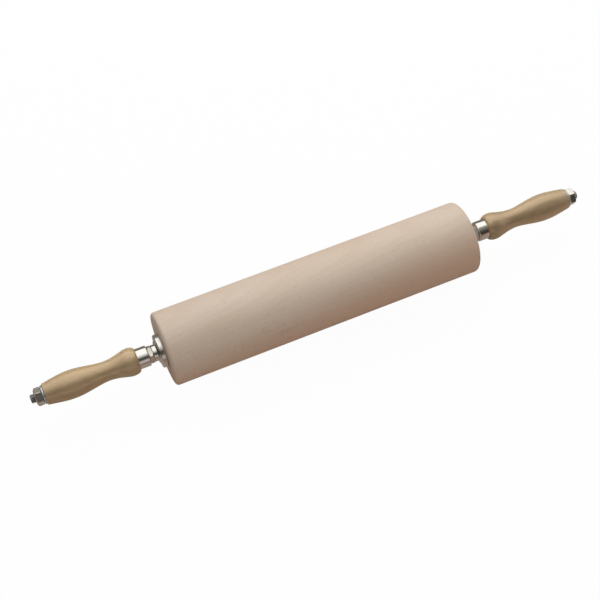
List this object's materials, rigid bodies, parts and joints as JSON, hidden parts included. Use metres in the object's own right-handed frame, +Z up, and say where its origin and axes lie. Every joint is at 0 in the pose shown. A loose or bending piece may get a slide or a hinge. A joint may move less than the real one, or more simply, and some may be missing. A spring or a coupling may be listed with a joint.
{
  "type": "rolling pin",
  "caption": "Baker's rolling pin: straight beech roller on ball bearings, turned handles clamped on a through axle, plated housings, ferrules and hexagonal nuts.",
  "frame": {"origin": "middle of the roller, on the axle's centre line", "axes": "+X along the axle to the right-hand handle, +Z up when the roller lies on a table, +Y away from the user"},
  "size_m": [0.6327, 0.08, 0.08],
  "materials": {
    "bare_beech": "planed and oiled beech, no lacquer, matt",
    "lacquered_beech": "turned beech under satin lacquer",
    "housing_nickel": "bright nickel plate",
    "sleeve_nickel": "bright nickel plate",
    "lock_nut_nickel": "bright nickel plate",
    "ferrule_nickel": "bright nickel plate",
    "washer_zinc": "bright zinc plate",
    "end_nut_steel": "plated steel, a little dull",
    "rod_steel": "dark drawn steel with rolled thread",
    "tube_steel": "drawn steel tube",
    "bearing_steel": "ground bearing steel",
    "ball_steel": "polished bearing steel",
    "cage_brass": "pressed brass",
    "shield_steel": "pressed steel sheet",
    "spring_steel": "phosphated spring steel"
  },
  "bodies": {
    "axle": {"axle_rod": "rod_steel", "spacer_tube": "tube_steel", "bearing_inner_ring_left": "bearing_steel", "neck_sleeve_left": "sleeve_nickel", "lock_nut_left": "lock_nut_nickel", "ferrule_left": "ferrule_nickel", "handle_left": "lacquered_beech", "end_washer_left": "washer_zinc", "end_nut_left": "end_nut_steel", "bearing_inner_ring_right": "bearing_steel", "neck_sleeve_right": "sleeve_nickel", "lock_nut_right": "lock_nut_nickel", "ferrule_right": "ferrule_nickel", "handle_right": "lacquered_beech", "end_washer_right": "washer_zinc", "end_nut_right": "end_nut_steel"},
    "roller": {"roller": "bare_beech", "bearing_housing_left": "housing_nickel", "bearing_outer_ring_left": "bearing_steel", "bearing_shields_left": "shield_steel", "retaining_ring_left": "spring_steel", "bearing_housing_right": "housing_nickel", "bearing_outer_ring_right": "bearing_steel", "bearing_shields_right": "shield_steel", "retaining_ring_right": "spring_steel"},
    "balls_left": {"bearing_balls_left": "ball_steel", "bearing_cage_left": "cage_brass"},
    "balls_right": {"bearing_balls_right": "ball_steel", "bearing_cage_right": "cage_brass"}
  },
  "joints": [
    {"name": "roller_spin", "type": "hinge", "parent": "axle", "child": "roller", "pos_m": [0, 0, 0], "axis": [1, 0, 0], "continuous": true},
    {"name": "balls_left_spin", "type": "hinge", "parent": "axle", "child": "balls_left", "pos_m": [-0.174, 0, 0], "axis": [1, 0, 0], "continuous": true},
    {"name": "balls_right_spin", "type": "hinge", "parent": "axle", "child": "balls_right", "pos_m": [0.174, 0, 0], "axis": [1, 0, 0], "continuous": true}
  ],
  "couplings": [
    {"joint": "balls_left_spin", "follows": "roller_spin", "ratio": 0.63228},
    {"joint": "balls_right_spin", "follows": "roller_spin", "ratio": 0.63228}
  ]
}
